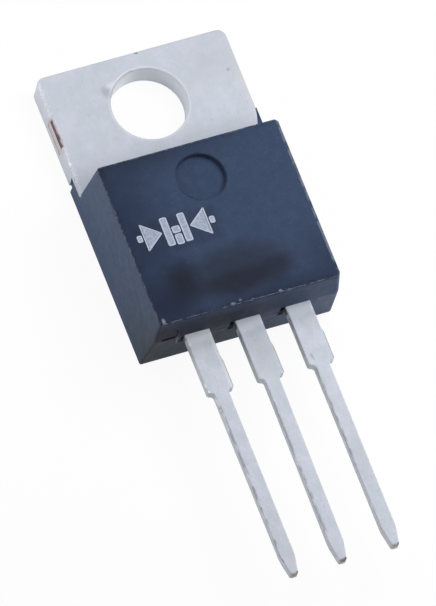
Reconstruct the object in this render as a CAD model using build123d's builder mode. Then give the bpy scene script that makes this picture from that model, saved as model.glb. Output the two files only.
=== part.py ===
from build123d import *
from math import radians, tan
import os

# A dual rectifier in a three-lead through-hole power package with a screw-down heat tab.
#
# All lengths are in millimetres and all angles in degrees. The package lies on the back of
# its heat tab, which is the plane z = 0. +Z points out of the front face of the moulding,
# +Y points to the end of the tab, and the leads run towards -Y. The origin is the centre of
# the mounting hole on the back face, so sizes named "hole_to_..." are distances along Y.

os.makedirs("parts", exist_ok=True)

# ---------------------------------------------------------------- header and heat tab
tab_width = 9.61
tab_thickness = 1.27
hole_diameter = 3.7
hole_to_tab_end = 2.79
tab_corner_radius = 0.45
edge_roll = 0.16  # rounded front edge left by the stamping die
hole_roll = 0.08

hole_to_right_notch = 1.64  # the right side tapers in over the full thickness
right_notch_to_mould = 0.155  # where the taper ends
hole_to_left_notch = 2.42  # the left side is cut away only under the thin flange
lip_cover = 0.12  # how far the tab's full width runs on under the moulding

hole_to_scar = 0.17  # scar on the left side, where the link to the strip was broken off
scar_length = 1.62
scar_height = 0.85
scar_depth = 0.02
tear_length = 1.42  # groove torn along the scar
tear_width = 0.12
tear_depth = 0.07
tear_inset = 0.21  # from the front of the tab

pad_inset = 0.805  # copper left bare on the back of the moulded region, from the tab's side
hole_to_pad_end = 9.68
flange_reach = 0.3  # thin flange round the pad, for the moulding to grip
groove_width = 0.36  # stop groove across the front of the header, under the moulding
groove_depth = 0.14
mould_to_groove = 0.8

# ---------------------------------------------------------------- leads
lead_pitch = 2.54
lead_thickness = 0.44
lead_height = 2.67  # back of the tab to the middle of the leads
wide_width = 1.26
wide_length = 3.2
stub_length = 1.45  # what is left of the cut dam bar, at the end of the wide part
stub_proud = 0.05  # on the right side only, where the cutter stopped short
stub_blend = 0.3
stub_bevel = 0.09  # outer corners left blunt by the cutter
narrow_width = 0.72
shoulder_radius = 0.17
lead_length = 13.06
tip_length = 0.95
tip_width = 0.36
tip_radius = 0.12
taper_radius = 2.2  # where the straight sides turn into the taper
middle_lead_bend = 0.1  # the middle lead leans to the left by this much at its tip
lead_edge_roll = 0.07

strip_overlap = 0.4  # the centre lead's strip starts this far inside the flange
joggle_start = 0.35  # flat strip between the flange and the first bend
joggle_run = 0.87
joggle_radius = 0.45
joggle_flat = 0.4

post_width = 2.3
post_length = 1.7
post_inset = 0.45  # root between the post and the lead end of the moulding
post_corner_radius = 0.25
lock_hole_diameter = 0.7
lock_hole_inset = 0.55

# ---------------------------------------------------------------- chips and clips
die_size = 2.7
die_thickness = 0.28
die_offset = 2.3
hole_to_die = 6.9
anode_size = 2.3
anode_step = 0.03
anode_corner_radius = 0.1
die_solder_thickness = 0.06
clip_solder_thickness = 0.05
solder_flare = 0.08

clip_width = 1.5
clip_thickness = 0.2
clip_foot_length = 1.7  # on the chip
clip_rise_run = 1.1
clip_bend_radius = 0.3
clip_reach = 0.85  # over the end of the lead's post

# ---------------------------------------------------------------- moulding
mould_height = 4.5
hole_to_mould = 3.5  # at the front of the tab
mould_length = 9.06  # from there to the lead exits
side_draft = 4.2
tab_end_draft = 6.5
lead_end_front_draft = 4.6
lead_end_back_draft = 7.3
side_inset = 0.015  # moulding inside the tab's side, at the front of the tab
left_corner_radius = 0.1
right_corner_radius = 0.22
front_edge_radius = 0.06

wing_rise = 0.75  # low moulding beside the tab, beyond the main block
left_wing_inset = 0.095  # shrinkage in the left notch, beyond that low moulding

dam_half_width = 3.55  # plastic that filled the strip up to the dam bar
exit_void_width = 0.2
exit_void_depth = 0.14

slot_width = 0.78  # slot at the parting line, on the left of that strip
slot_height = 0.15
slot_depth = 0.1
nub_width = 0.06  # flash between the slot and the strip
nub_height = 1.05
nub_proud = 0.05

ejector_diameter = 2.35
ejector_depth = 0.22
hole_to_ejector = 5.7

# ---------------------------------------------------------------- derived places
lead_front_z = lead_height + lead_thickness / 2
lead_back_z = lead_height - lead_thickness / 2
flange_back_z = tab_thickness - lead_thickness

mould_y = -hole_to_mould
exit_y = mould_y - mould_length
tip_y = exit_y - lead_length
taper_y = tip_y + tip_length
stub_end_y = exit_y - wide_length
stub_y = stub_end_y + stub_length
pad_end_y = -hole_to_pad_end
flange_end_y = pad_end_y - flange_reach
lip_end_y = mould_y - lip_cover
post_root_y = exit_y + post_inset

half_tab = tab_width / 2
half_pad = half_tab - pad_inset
half_flange = half_pad + flange_reach
half_wide = wide_width / 2
right_notch_end_y = mould_y + right_notch_to_mould

post_inner_y = post_root_y + post_length
die_y = -hole_to_die
die_floor_z = tab_thickness + die_solder_thickness
die_top_z = die_floor_z + die_thickness
sides = {"left": -1, "right": 1}


def lean(height, angle):
    """Return how far a wall with this draft angle leans in over a height."""
    return height * tan(radians(angle))


def mould_half_width(height):
    """Return half the moulding's width at a height above the back of the tab."""
    return half_tab - side_inset - lean(height - tab_thickness, side_draft)


def lead_outline(x, inner_y, bend=0):
    """Return the outline of a flat lead with its middle line at x, from inner_y to its tip.

    The narrow part leans to the left, by bend at the tip.
    """
    half_narrow, half_tip = narrow_width / 2, tip_width / 2
    bevel = min(stub_bevel, 0.9 * (half_wide - half_narrow - shoulder_radius))
    stub_x = x + half_wide + stub_proud
    taper_x = x - bend * (1 - tip_length / (lead_length - wide_length))
    tip_x = x - bend
    with BuildSketch(Plane.XY.offset(lead_back_z)) as outline:
        with BuildLine():
            Polyline(
                (x - half_wide, inner_y), (x + half_wide, inner_y),
                (x + half_wide, stub_y + stub_blend), (stub_x, stub_y),
                (stub_x, stub_end_y + bevel), (stub_x - bevel, stub_end_y),
                (x + half_narrow, stub_end_y),
                (taper_x + half_narrow, taper_y), (tip_x + half_tip, tip_y),
                (tip_x - half_tip, tip_y), (taper_x - half_narrow, taper_y),
                (x - half_narrow, stub_end_y),
                (x - half_wide + bevel, stub_end_y), (x - half_wide, stub_end_y + bevel),
                close=True,
            )
        make_face()
        corners = outline.vertices().group_by(Axis.Y)
        fillet(corners[0], tip_radius)
        tapers = outline.vertices().filter_by(lambda v: abs(v.Y - taper_y) < 1e-6)
        fillet(tapers, taper_radius)
        shoulders = outline.vertices().filter_by(
            lambda v: abs(v.Y - stub_end_y) < 1e-6 and abs(v.X - x) < half_narrow + 1e-6
        )
        fillet(shoulders, shoulder_radius)
    return outline.sketch


def front_edges(lead, inner_y):
    """Return the edges round the front of a flat lead, apart from the one at inner_y."""
    front = lead.faces().sort_by(Axis.Z)[-1]
    return front.outer_wire().edges().filter_by(lambda e: e.center().Y < inner_y - 1e-6)


def solder_layer(label, place, width, length, thickness):
    """Make and write the solder between two flat faces, wider at its foot than at its top."""
    x, y, z = place
    with BuildPart() as layer:
        with BuildSketch(Plane.XY.offset(z)):
            with Locations((x, y)):
                Rectangle(width + 2 * solder_flare, length + 2 * solder_flare)
        with BuildSketch(Plane.XY.offset(z + thickness)):
            with Locations((x, y)):
                Rectangle(width, length)
        loft()
    layer.part.label = label
    export_step(layer.part, f"parts/{label}.step")
    return layer.part


# ================================================================ heat tab with centre lead
# One profiled copper strip: thick under the chips, with a thin flange all round that is
# level with its front face and runs on as the centre lead.
strip_z = tab_thickness - lead_thickness / 2
joggle_y = flange_end_y - joggle_start
joggle_end_y = joggle_y - joggle_run
strip_end_y = joggle_end_y - joggle_flat
groove_y = mould_y - mould_to_groove
tear_z = tab_thickness - tear_inset

with BuildPart() as heat_tab:
    extrude(lead_outline(0, strip_end_y, middle_lead_bend), amount=lead_thickness)
    fillet(front_edges(heat_tab, strip_end_y), lead_edge_roll)

    # tab and header, flange included, at full thickness
    with BuildSketch() as header_outline:
        with BuildLine():
            Polyline(
                (-half_tab, hole_to_tab_end), (half_tab, hole_to_tab_end),
                (half_tab, -hole_to_right_notch),
                (half_flange, right_notch_end_y),
                (half_flange, flange_end_y), (-half_flange, flange_end_y),
                (-half_flange, lip_end_y), (-half_tab, lip_end_y),
                close=True,
            )
        make_face()
        fillet(header_outline.vertices().group_by(Axis.Y)[-1], tab_corner_radius)
    extrude(amount=tab_thickness)

    # rounded front edges, down to where the moulding starts on each side
    front = heat_tab.faces().filter_by_position(Axis.Z, tab_thickness, tab_thickness)
    outline_edges = front.sort_by(SortBy.AREA)[-1].outer_wire().edges()
    fillet(outline_edges.filter_by(lambda e: e.center().Y > -hole_to_right_notch), edge_roll)

    # the flange is thinned from the back, which leaves the pad and the tab thick
    with BuildSketch():
        with BuildLine():
            Polyline(
                (-half_tab, -hole_to_left_notch), (-half_pad, -hole_to_left_notch),
                (-half_pad, pad_end_y), (half_pad, pad_end_y),
                (half_pad, lip_end_y), (half_tab, lip_end_y),
                (half_tab, flange_end_y), (-half_tab, flange_end_y),
                close=True,
            )
        make_face()
    extrude(amount=flange_back_z, mode=Mode.SUBTRACT)

    # mounting hole
    with Locations((0, 0, tab_thickness)):
        Hole(radius=hole_diameter / 2)
    fillet(heat_tab.edges(Select.LAST).group_by(Axis.Z)[-1], hole_roll)

    # scar of the broken link, with the tear along it
    with Locations((-half_tab, -hole_to_scar, tab_thickness)):
        Box(2 * scar_depth, scar_length, 2 * scar_height, mode=Mode.SUBTRACT)
    with BuildSketch(Plane.XZ.offset(hole_to_scar)):
        with BuildLine():
            Polyline(
                (-half_tab, tear_z - tear_width / 2), (tear_depth - half_tab, tear_z),
                (-half_tab, tear_z + tear_width / 2),
                close=True,
            )
        make_face()
    extrude(amount=tear_length / 2, both=True, mode=Mode.SUBTRACT)

    # stop groove that keeps resin off the tab
    with BuildSketch(Plane.YZ):
        with BuildLine():
            Polyline(
                (groove_y - groove_width / 2, tab_thickness),
                (groove_y, tab_thickness - groove_depth),
                (groove_y + groove_width / 2, tab_thickness),
                close=True,
            )
        make_face()
    extrude(amount=half_pad - flange_reach, both=True, mode=Mode.SUBTRACT)

    # strip that rises from the flange to the height of the leads
    strip_start = (0, flange_end_y + strip_overlap, strip_z)
    with BuildLine():
        FilletPolyline(
            strip_start, (0, joggle_y, strip_z),
            (0, joggle_end_y, lead_height), (0, strip_end_y, lead_height),
            radius=joggle_radius,
        )
    with BuildSketch(Plane(origin=strip_start, x_dir=(1, 0, 0), z_dir=(0, -1, 0))):
        Rectangle(wide_width, lead_thickness)
    sweep()

heat_tab.part.label = "heat_tab"
export_step(heat_tab.part, "parts/heat_tab.step")
embedded = [heat_tab.part]

# ================================================================ outer leads
# Stamped from the same thin gauge: a bond post with a lock hole inside the moulding, a wide
# part down to the cut dam bar, and a narrow part with a tapered tip.
stem_y = post_root_y + post_corner_radius
for side, sign in sides.items():
    lead_x = sign * lead_pitch
    with BuildPart() as outer_lead:
        extrude(lead_outline(lead_x, stem_y), amount=lead_thickness)
        fillet(front_edges(outer_lead, stem_y), lead_edge_roll)
        with BuildSketch(Plane.XY.offset(lead_back_z)):
            with Locations((lead_x, post_root_y)):
                RectangleRounded(post_width, post_length, post_corner_radius,
                                 align=(Align.CENTER, Align.MIN))
        extrude(amount=lead_thickness)
        with Locations((lead_x, post_root_y + lock_hole_inset, lead_front_z)):
            Hole(radius=lock_hole_diameter / 2)
    outer_lead.part.label = f"{side}_lead"
    export_step(outer_lead.part, f"parts/{side}_lead.step")
    embedded.append(outer_lead.part)

# ================================================================ diode chips
for side, sign in sides.items():
    die_x = sign * die_offset
    embedded.append(solder_layer(
        f"{side}_die_solder", (die_x, die_y, tab_thickness), die_size, die_size,
        die_solder_thickness,
    ))

    with BuildPart() as die:
        with BuildSketch(Plane.XY.offset(die_floor_z)):
            with Locations((die_x, die_y)):
                Rectangle(die_size, die_size)
        extrude(amount=die_thickness - anode_step)
        with BuildSketch(Plane.XY.offset(die_top_z - anode_step)):
            with Locations((die_x, die_y)):
                RectangleRounded(anode_size, anode_size, anode_corner_radius)
        extrude(amount=anode_step)
    die.part.label = f"{side}_die"
    export_step(die.part, f"parts/{side}_die.step")
    embedded.append(die.part)

# ================================================================ clips
# A bent copper strip joins the front of each chip to the post of the lead beside it.
clip_low_z = die_top_z + clip_solder_thickness + clip_thickness / 2
clip_high_z = lead_front_z + clip_solder_thickness + clip_thickness / 2
clip_start_y = die_y + clip_foot_length / 2
clip_rise_y = die_y - clip_foot_length / 2
clip_end_y = post_inner_y - clip_reach
post_solder_length = clip_reach - 2 * solder_flare

for side, sign in sides.items():
    clip_x = sign * lead_pitch
    embedded.append(solder_layer(
        f"{side}_clip_die_solder", (clip_x, die_y, die_top_z),
        clip_width, clip_foot_length - 2 * clip_bend_radius, clip_solder_thickness,
    ))
    embedded.append(solder_layer(
        f"{side}_clip_lead_solder", (clip_x, post_inner_y - clip_reach / 2, lead_front_z),
        clip_width, post_solder_length, clip_solder_thickness,
    ))

    clip_start = (clip_x, clip_start_y, clip_low_z)
    with BuildPart() as clip:
        with BuildLine():
            FilletPolyline(
                clip_start, (clip_x, clip_rise_y, clip_low_z),
                (clip_x, clip_rise_y - clip_rise_run, clip_high_z),
                (clip_x, clip_end_y, clip_high_z),
                radius=clip_bend_radius,
            )
        with BuildSketch(Plane(origin=clip_start, x_dir=(1, 0, 0), z_dir=(0, -1, 0))):
            Rectangle(clip_width, clip_thickness)
        sweep()
    clip.part.label = f"{side}_clip"
    export_step(clip.part, f"parts/{side}_clip.step")
    embedded.append(clip.part)

# ================================================================ moulded body
# Both ends and both sides are drafted. The lead end leans in both ways from the level of
# the leads, and the cavities are those of the pieces that the moulding grips.
back_half_width = mould_half_width(0)
front_half_width = mould_half_width(mould_height)
wing_half_width = mould_half_width(flange_back_z)

with BuildPart() as moulded_body:
    # outline from the side
    with BuildSketch(Plane.YZ):
        with BuildLine():
            Polyline(
                (mould_y + lean(tab_thickness, tab_end_draft), 0),
                (mould_y - lean(mould_height - tab_thickness, tab_end_draft), mould_height),
                (exit_y + lean(mould_height - lead_front_z, lead_end_front_draft), mould_height),
                (exit_y, lead_front_z),
                (exit_y + lean(lead_front_z, lead_end_back_draft), 0),
                close=True,
            )
        make_face()
    extrude(amount=back_half_width, both=True)

    # outline from the end
    with BuildSketch(Plane.XZ):
        with BuildLine():
            Polyline(
                (-back_half_width, 0), (back_half_width, 0),
                (front_half_width, mould_height), (-front_half_width, mould_height),
                close=True,
            )
        make_face()
    extrude(amount=hole_to_mould + 2 * mould_length, both=True, mode=Mode.INTERSECT)

    # rounded corners and front edge
    corners = moulded_body.edges().filter_by(lambda e: abs(e.tangent_at(0.5).Z) > 0.5)
    fillet(corners.filter_by(lambda e: e.center().X < 0), left_corner_radius)
    corners = moulded_body.edges().filter_by(lambda e: abs(e.tangent_at(0.5).Z) > 0.5)
    fillet(corners.filter_by(lambda e: e.center().X > half_pad), right_corner_radius)
    fillet(moulded_body.faces().sort_by(Axis.Z)[-1].edges(), front_edge_radius)

    # low moulding on both sides of the tab
    with BuildSketch(Plane.XZ.offset(hole_to_mould - wing_rise)):
        with BuildLine():
            Polyline(
                (-back_half_width, 0), (back_half_width, 0),
                (wing_half_width, flange_back_z), (-wing_half_width, flange_back_z),
                close=True,
            )
        make_face()
    extrude(amount=wing_rise + lip_cover)

    # resin in the two notches: the right one is full, the left one stops under the lip
    with BuildSketch():
        with BuildLine():
            Polyline(
                (half_tab, -hole_to_right_notch), (half_flange, right_notch_end_y),
                (half_flange, mould_y), (half_tab, mould_y),
                close=True,
            )
        make_face()
    extrude(amount=tab_thickness)
    with BuildSketch():
        with BuildLine():
            Polyline(
                (-half_pad, -hole_to_left_notch),
                (left_wing_inset - half_tab, -hole_to_left_notch),
                (left_wing_inset - half_tab, mould_y), (-half_pad, mould_y),
                close=True,
            )
        make_face()
    extrude(amount=flange_back_z)

    # strip of resin between the leads, and the voids left beside two of them
    with BuildSketch(Plane.XY.offset(lead_back_z)):
        with Locations((0, exit_y)):
            Rectangle(2 * dam_half_width, lead_thickness, align=(Align.CENTER, Align.MIN))
    extrude(amount=lead_thickness)
    with BuildSketch(Plane.XY.offset(lead_back_z)):
        for lead_x in (0, lead_pitch):
            with Locations((lead_x - half_wide - exit_void_width / 2, exit_y)):
                Rectangle(exit_void_width, 2 * exit_void_depth)
    extrude(amount=lead_thickness, mode=Mode.SUBTRACT)

    # slot at the parting line, and the nub of flash that ends it
    with Locations((-dam_half_width, exit_y + slot_depth, lead_front_z)):
        Box(slot_width, 2 * slot_depth, slot_height,
            align=(Align.MAX, Align.MAX, Align.MIN), mode=Mode.SUBTRACT)
    with Locations((-dam_half_width, exit_y - nub_proud, lead_front_z)):
        Box(nub_width, nub_proud + slot_depth, nub_height, align=(Align.CENTER, Align.MIN, Align.CENTER))

    # mark of the ejector pin
    with Locations((0, -hole_to_ejector, mould_height)):
        Hole(radius=ejector_diameter / 2, depth=ejector_depth)

    for piece in embedded:
        add(piece, mode=Mode.SUBTRACT)

moulded_body.part.label = "moulded_body"
export_step(moulded_body.part, "parts/moulded_body.step")
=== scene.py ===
"""Looks of a dual rectifier in a three-lead power package with a screw-down heat tab.

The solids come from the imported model, in metres, with the centre of the mounting hole on the
back of the tab as the origin. +Z points out of the front of the moulding, +Y to the end of the
tab, and the leads run towards -Y. Every piece that is added here rides on the one body.
"""

import logging
from collections.abc import Callable
from dataclasses import dataclass, field
from enum import Enum
from math import cos, pi, radians, sin, sqrt
from typing import Any

import bmesh
import bpy
from mathutils import Matrix, Quaternion, Vector, noise


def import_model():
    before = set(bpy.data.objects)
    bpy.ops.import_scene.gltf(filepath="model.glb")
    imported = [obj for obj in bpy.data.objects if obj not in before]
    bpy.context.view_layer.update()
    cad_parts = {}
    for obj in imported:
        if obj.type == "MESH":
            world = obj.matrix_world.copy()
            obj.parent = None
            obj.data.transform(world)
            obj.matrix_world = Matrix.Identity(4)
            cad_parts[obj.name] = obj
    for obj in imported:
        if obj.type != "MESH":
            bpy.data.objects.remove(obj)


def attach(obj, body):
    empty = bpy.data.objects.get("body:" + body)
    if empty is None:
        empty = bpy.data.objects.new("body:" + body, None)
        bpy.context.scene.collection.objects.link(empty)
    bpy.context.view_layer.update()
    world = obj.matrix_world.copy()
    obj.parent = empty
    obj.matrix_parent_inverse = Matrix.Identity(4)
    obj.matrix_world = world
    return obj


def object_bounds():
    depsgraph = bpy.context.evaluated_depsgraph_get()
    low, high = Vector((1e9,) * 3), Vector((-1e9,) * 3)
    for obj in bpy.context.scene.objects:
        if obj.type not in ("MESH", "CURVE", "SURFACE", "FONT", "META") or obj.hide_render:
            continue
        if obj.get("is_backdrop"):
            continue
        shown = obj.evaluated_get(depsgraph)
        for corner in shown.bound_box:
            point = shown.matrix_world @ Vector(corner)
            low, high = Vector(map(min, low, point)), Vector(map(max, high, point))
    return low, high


log = logging.getLogger("rectifier")

MILLIMETRE = 0.001
BODY = "root"

FRONT_Z = 4.5  # of the moulding's front face, in millimetres

Colour = tuple[float, float, float]
Point = tuple[float, float, float]
Material = bpy.types.Material
Socket = bpy.types.NodeSocket

WHITE: Colour = (1.0, 1.0, 1.0)


class Slot(Enum):
    """Names of the model's material slots, used here as the names of materials."""

    EPOXY = "epoxy"
    SOLDER = "solder"
    SILICON = "metallised_silicon"
    CLIP = "clip_copper"


class Shape(Enum):
    """The shapes of a patch, by the node group that masks it."""

    BOX = "Box Patch"
    ROUND = "Round Patch"
    RING = "Ring Patch"


# ---------------------------------------------------------------- node trees


class Graph:
    """Adds nodes to a node tree and links them."""

    def __init__(self, tree: bpy.types.NodeTree) -> None:
        """Keep the tree that the nodes go into."""
        self.tree = tree

    def add(
        self, kind: str, inputs: dict[Any, Any] | None = None, **settings: Any
    ) -> bpy.types.Node:
        """Add a node, set it up and fill its inputs.

        Args:
            kind: The node's type without its ShaderNode prefix.
            inputs: Values or output sockets, by input name or number.
            settings: Properties of the node.

        Returns:
            The new node.
        """
        full_kind = kind if kind.startswith("Node") else f"ShaderNode{kind}"
        node = self.tree.nodes.new(full_kind)
        for name, value in settings.items():
            setattr(node, name, value)
        for name, value in (inputs or {}).items():
            self.fill(node.inputs[name], value)
        return node

    def fill(self, socket: Socket, value: Any) -> None:
        """Link an output to a socket, or set the socket's own value."""
        if isinstance(value, Socket):
            self.tree.links.new(value, socket)
        elif socket.type == "RGBA" and len(value) == 3:
            socket.default_value = (*value, 1.0)
        else:
            socket.default_value = value

    def math(self, operation: str, first: Any, second: Any) -> Socket:
        """Return the result of a Math node."""
        return self.add("Math", {0: first, 1: second}, operation=operation).outputs[0]

    def vector(self, operation: str, first: Any, second: Any) -> Socket:
        """Return the vector result of a Vector Math node."""
        return self.add("VectorMath", {0: first, 1: second}, operation=operation).outputs[0]

    def unsigned(self, value: Any) -> Socket:
        """Return a number without its sign."""
        return self.add("Math", {0: value}, operation="ABSOLUTE").outputs[0]

    def scaled(self, vector: Any, scale: Any) -> Socket:
        """Return a vector times a number."""
        return self.add("VectorMath", {0: vector, "Scale": scale}, operation="SCALE").outputs[0]

    def fade(self, value: Any, start: Any, end: Any, low: float, high: float) -> Socket:
        """Return a smooth change from low at start to high at end."""
        inputs = {"Value": value, 1: start, 2: end, 3: low, 4: high}
        return self.add("MapRange", inputs, interpolation_type="SMOOTHSTEP").outputs[0]

    def blend(self, factor: Any, first: Any, second: Any) -> Socket:
        """Return a mix of two colours."""
        # a Mix node's colours are its inputs 6 and 7 and its output 2
        return self.add("Mix", {0: factor, 6: first, 7: second}, data_type="RGBA").outputs[2]

    def group(self, name: str, inputs: dict[str, Any]) -> dict[str, Socket]:
        """Place a node group.

        Args:
            name: The group's name.
            inputs: Values or output sockets, by input name.

        Returns:
            The group's outputs by name.
        """
        node = self.tree.nodes.new("ShaderNodeGroup")
        node.node_tree = bpy.data.node_groups[name]
        for key, value in inputs.items():
            self.fill(node.inputs[key], value)
        return {socket.name: socket for socket in node.outputs}


def empty_graph(owner: Material | bpy.types.World) -> Graph:
    """Return the graph of a material or a world, with no nodes in it yet."""
    owner.use_nodes = True
    owner.node_tree.nodes.clear()
    return Graph(owner.node_tree)


class GroupMaker:
    """Builds the node groups that several finishes share. All their lengths are millimetres."""

    COARSE_SCALE = 0.17  # of the coarse grain, as a share of the fine one's
    KINDS = {"f": "NodeSocketFloat", "v": "NodeSocketVector", "c": "NodeSocketColor"}
    PATCH_INPUTS = {
        "Position": "v", "Centre": "v", "Half Size": "v", "Softness": "f", "Raggedness": "f",
        "Noise Scale": "f",
    }

    def start(
        self, name: str, inputs: dict[str, str], outputs: dict[str, str]
    ) -> tuple[Graph, Any, Any]:
        """Make an empty group.

        Args:
            name: The group's name.
            inputs: Kind of each input by name: f, v or c.
            outputs: Kind of each output by name.

        Returns:
            The graph, the sockets that hold the group's inputs, and the node for its outputs.
        """
        tree = bpy.data.node_groups.new(name, "ShaderNodeTree")
        for side, sockets in (("INPUT", inputs), ("OUTPUT", outputs)):
            for key, kind in sockets.items():
                tree.interface.new_socket(name=key, in_out=side, socket_type=self.KINDS[kind])
        graph = Graph(tree)
        return graph, graph.add("NodeGroupInput").outputs, graph.add("NodeGroupOutput")

    def clouds(self) -> None:
        """Soft uneven colour, as of plating or of resin with its filler."""
        graph, given, out = self.start(
            "Clouds",
            {"Position": "v", "Light": "c", "Dark": "c", "Scale": "f", "Contrast": "f"},
            {"Colour": "c", "Value": "f"},
        )
        wide = graph.add(
            "TexNoise", {"Vector": given["Position"], "Scale": given["Scale"], "Detail": 5.0}
        )
        half = graph.math("MULTIPLY", given["Contrast"], 0.5)
        end = graph.math("SUBTRACT", 1.0, half)
        value = graph.fade(wide.outputs[0], half, end, 0.0, 1.0)
        graph.fill(out.inputs["Colour"], graph.blend(value, given["Dark"], given["Light"]))
        graph.fill(out.inputs["Value"], value)

    def grain(self) -> None:
        """Height of a fine grain, with a coarser one under it."""
        graph, given, out = self.start(
            "Grain",
            {"Position": "v", "Stretch": "v", "Scale": "f", "Coarse Share": "f"},
            {"Height": "f"},
        )
        place = graph.vector("MULTIPLY", given["Position"], given["Stretch"])
        fine = graph.add("TexNoise", {"Vector": place, "Scale": given["Scale"], "Detail": 3.0})
        low = graph.math("MULTIPLY", given["Scale"], self.COARSE_SCALE)
        coarse = graph.add("TexNoise", {"Vector": place, "Scale": low, "Detail": 2.0})
        share = graph.math("MULTIPLY", coarse.outputs[0], given["Coarse Share"])
        graph.fill(out.inputs["Height"], graph.math("ADD", fine.outputs[0], share))

    def ragged_place(self, graph: Graph, given: Any) -> Socket:
        """Return the place from a patch's centre, shifted by noise so that its edge is ragged."""
        shift = graph.add("TexNoise", {"Vector": given["Position"], "Scale": given["Noise Scale"]})
        centred = graph.vector("SUBTRACT", shift.outputs[1], (0.5, 0.5, 0.5))
        moved = graph.vector("ADD", given["Position"], graph.scaled(centred, given["Raggedness"]))
        return graph.vector("SUBTRACT", moved, given["Centre"])

    def box_patch(self) -> None:
        """Mask of a patch with straight sides that fade out."""
        graph, given, out = self.start(Shape.BOX.value, self.PATCH_INPUTS, {"Mask": "f"})
        place = self.ragged_place(graph, given)
        size = graph.add("VectorMath", {0: place}, operation="ABSOLUTE").outputs[0]
        beyond = graph.vector("SUBTRACT", size, given["Half Size"])
        axes = graph.add("SeparateXYZ", {0: beyond}).outputs
        furthest = graph.math("MAXIMUM", graph.math("MAXIMUM", axes[0], axes[1]), axes[2])
        graph.fill(out.inputs["Mask"], graph.fade(furthest, 0.0, given["Softness"], 1.0, 0.0))

    def round_patch(self) -> None:
        """Mask of a rounded patch that fades out over a share of its size."""
        graph, given, out = self.start(Shape.ROUND.value, self.PATCH_INPUTS, {"Mask": "f"})
        share = graph.vector("DIVIDE", self.ragged_place(graph, given), given["Half Size"])
        length = graph.add("VectorMath", {0: share}, operation="LENGTH").outputs["Value"]
        core = graph.math("SUBTRACT", 1.0, given["Softness"])
        graph.fill(out.inputs["Mask"], graph.fade(length, core, 1.0, 1.0, 0.0))

    def ring_patch(self) -> None:
        """Mask of a ring round Z. Its half size gives its radius, half width and half height."""
        graph, given, out = self.start(Shape.RING.value, self.PATCH_INPUTS, {"Mask": "f"})
        place = graph.add("SeparateXYZ", {0: self.ragged_place(graph, given)}).outputs
        size = graph.add("SeparateXYZ", {0: given["Half Size"]}).outputs
        flat = graph.add("CombineXYZ", {"X": place["X"], "Y": place["Y"]}).outputs[0]
        radius = graph.add("VectorMath", {0: flat}, operation="LENGTH").outputs["Value"]
        aside = graph.unsigned(graph.math("SUBTRACT", radius, size["X"]))
        above = graph.unsigned(place["Z"])
        furthest = graph.math(
            "MAXIMUM",
            graph.math("SUBTRACT", aside, size["Y"]),
            graph.math("SUBTRACT", above, size["Z"]),
        )
        graph.fill(out.inputs["Mask"], graph.fade(furthest, 0.0, given["Softness"], 1.0, 0.0))

    def flecks(self) -> None:
        """Mask of scattered flecks."""
        graph, given, out = self.start(
            "Flecks",
            {"Position": "v", "Stretch": "v", "Scale": "f", "Cover": "f", "Softness": "f"},
            {"Mask": "f"},
        )
        place = graph.vector("MULTIPLY", given["Position"], given["Stretch"])
        spots = graph.add("TexNoise", {"Vector": place, "Scale": given["Scale"], "Detail": 2.0})
        start = graph.math("SUBTRACT", 1.0, given["Cover"])
        end = graph.math("ADD", start, given["Softness"])
        graph.fill(out.inputs["Mask"], graph.fade(spots.outputs[0], start, end, 0.0, 1.0))

    def build(self) -> None:
        """Build every group once."""
        for make in (
            self.clouds, self.grain, self.box_patch, self.round_patch, self.ring_patch,
            self.flecks,
        ):
            make()


# ---------------------------------------------------------------- finishes


@dataclass(frozen=True)
class Patch:
    """A place on a piece, in millimetres. A round patch is soft over a share of its size."""

    centre: Point
    half_size: Point
    softness: float
    raggedness: float = 0.1
    noise_scale: float = 3.0
    shape: Shape = Shape.BOX

    def mask(self, graph: Graph, position: Socket) -> Socket:
        """Return the mask of this patch."""
        return graph.group(self.shape.value, {
            "Position": position, "Centre": self.centre, "Half Size": self.half_size,
            "Softness": self.softness, "Raggedness": self.raggedness,
            "Noise Scale": self.noise_scale,
        })["Mask"]


@dataclass(frozen=True)
class Breakup:
    """Flecks that a stain is broken up into."""

    scale: float
    cover: float
    softness: float
    stretch: Point = (1.0, 1.0, 1.0)

    def mask(self, graph: Graph, position: Socket) -> Socket:
        """Return the mask of the flecks."""
        return graph.group("Flecks", {
            "Position": position, "Stretch": self.stretch, "Scale": self.scale,
            "Cover": self.cover, "Softness": self.softness,
        })["Mask"]


@dataclass(frozen=True)
class Stain:
    """Another colour where all of its masks meet."""

    colour: Colour
    strength: float
    masks: tuple[Patch | Breakup, ...]

    def lay(self, graph: Graph, position: Socket, under: Any) -> Socket:
        """Return the colour with this stain laid over it."""
        share: Any = self.strength
        for mask in self.masks:
            share = graph.math("MULTIPLY", mask.mask(graph, position), share)
        return graph.blend(share, under, self.colour)


def spot(
    centre: Point, half_size: Point, softness: float, raggedness: float = 0.1,
    noise_scale: float = 3.0,
) -> Patch:
    """Return a rounded patch."""
    return Patch(centre, half_size, softness, raggedness, noise_scale, Shape.ROUND)


def stain(colour: Colour, strength: float, *masks: Patch | Breakup) -> Stain:
    """Return a stain that shows where all of the given masks meet."""
    return Stain(colour, strength, masks)


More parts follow.
